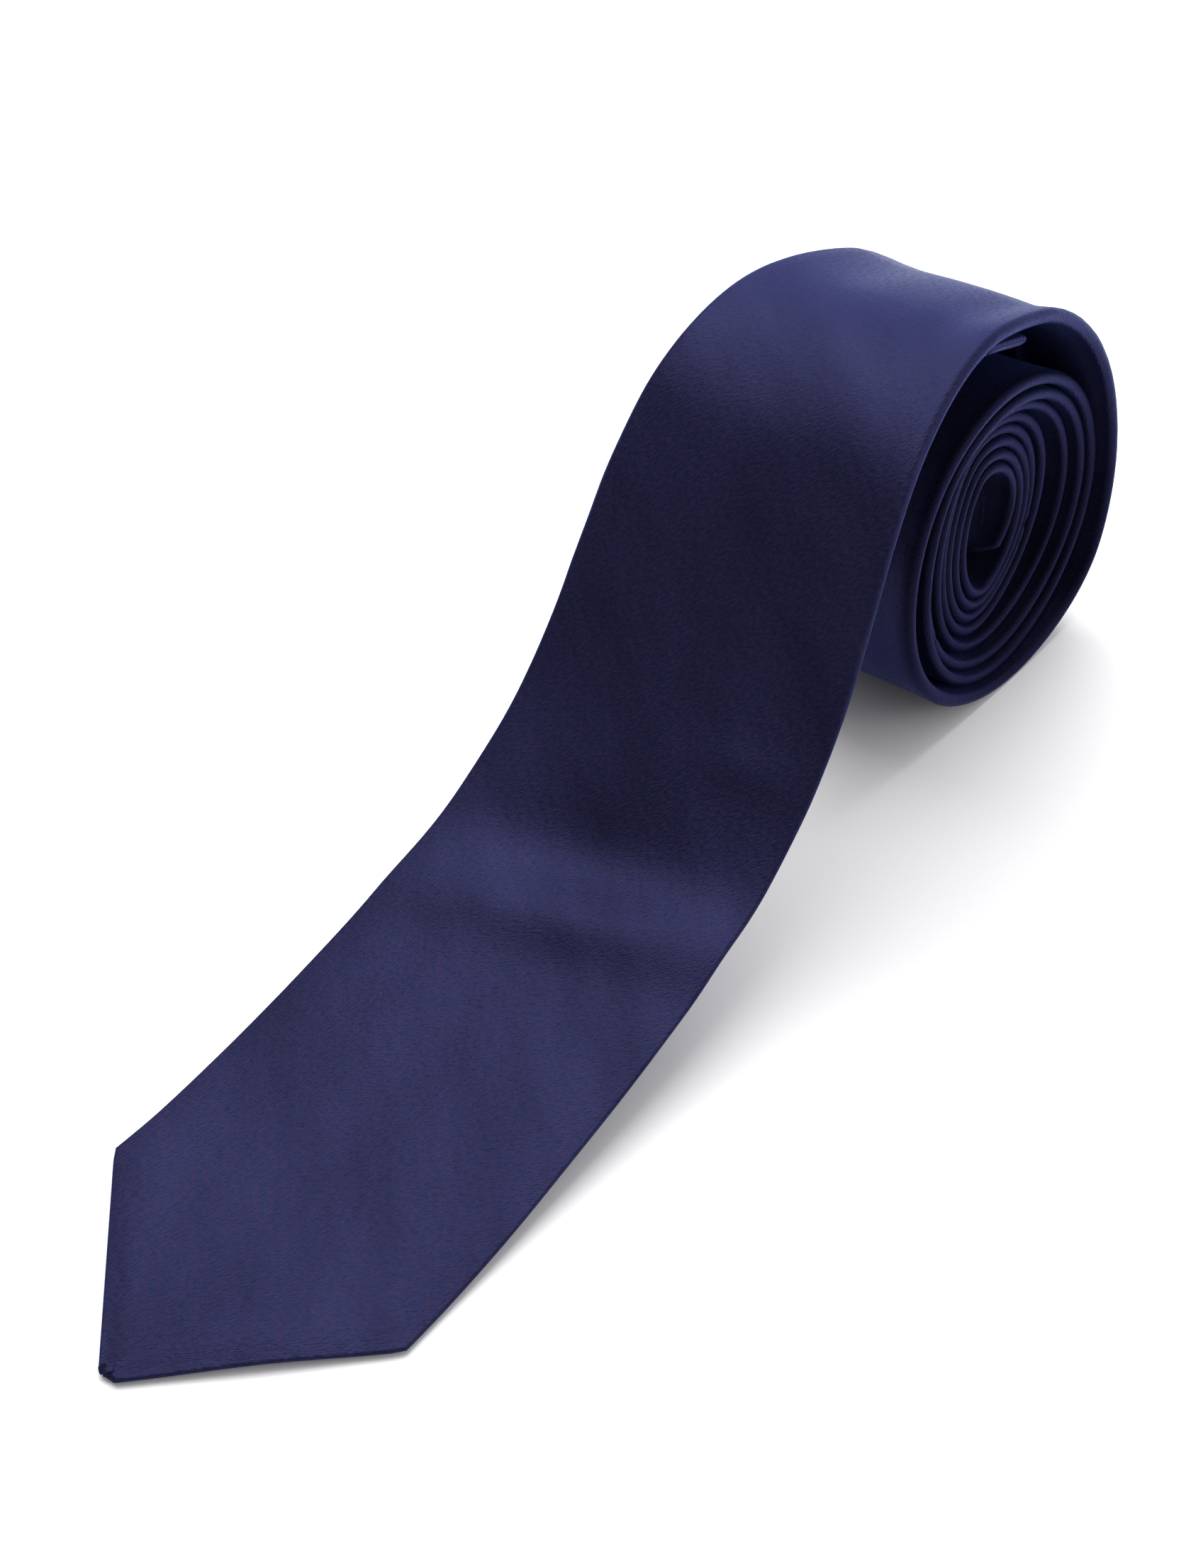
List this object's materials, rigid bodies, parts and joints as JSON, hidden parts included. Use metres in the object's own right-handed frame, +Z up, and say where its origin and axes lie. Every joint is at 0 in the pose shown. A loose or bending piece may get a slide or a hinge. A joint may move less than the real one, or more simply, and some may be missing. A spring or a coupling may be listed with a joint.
{
  "type": "necktie",
  "caption": "Slim plain navy satin necktie rolled up from its narrow end, lying on its side face with the wide pointed blade let down in an S-curve and laid flat in front.",
  "frame": {"origin": "centre of the bounding box in X and Y, on the table under the tie in Z", "axes": "+X across the tie, along the roll's axis; +Y from the blade's point towards the roll; +Z up"},
  "size_m": [0.0568, 0.252, 0.088],
  "materials": {
    "satin": "satin weave, soft sheen",
    "interlining_wool": "matt brushed wool",
    "tipping_cloth": "plain lining cloth",
    "thread": "matt sewing thread",
    "label_tape": "woven tape, blank"
  },
  "bodies": {
    "roll": {"blade_shell_rolled": "satin", "neck_shell": "satin", "tail_shell": "satin", "front_piecing_stitches": "thread", "tail_piecing_stitches": "thread", "interlining_rolled": "interlining_wool", "interlining_tail": "interlining_wool", "tail_tipping": "tipping_cloth", "slip_stitch_rolled": "thread", "slip_stitch_neck": "thread", "tail_bar_tack": "thread", "tail_tip_tack": "thread", "keeper_loop": "satin", "keeper_tack_left": "thread", "keeper_tack_right": "thread"},
    "blade": {"blade_shell_free": "satin", "interlining_free": "interlining_wool", "front_tipping": "tipping_cloth", "slip_stitch_free": "thread", "front_bar_tack": "thread", "front_tip_tack": "thread", "care_label": "label_tape", "label_stitches_left": "thread", "label_stitches_right": "thread"}
  },
  "joints": [
    {"name": "blade_lift", "type": "hinge", "parent": "roll", "child": "blade", "pos_m": [0, 0.0385, 0.08504], "axis": [-1, 0, 0], "range_deg": [0, 55]}
  ]
}
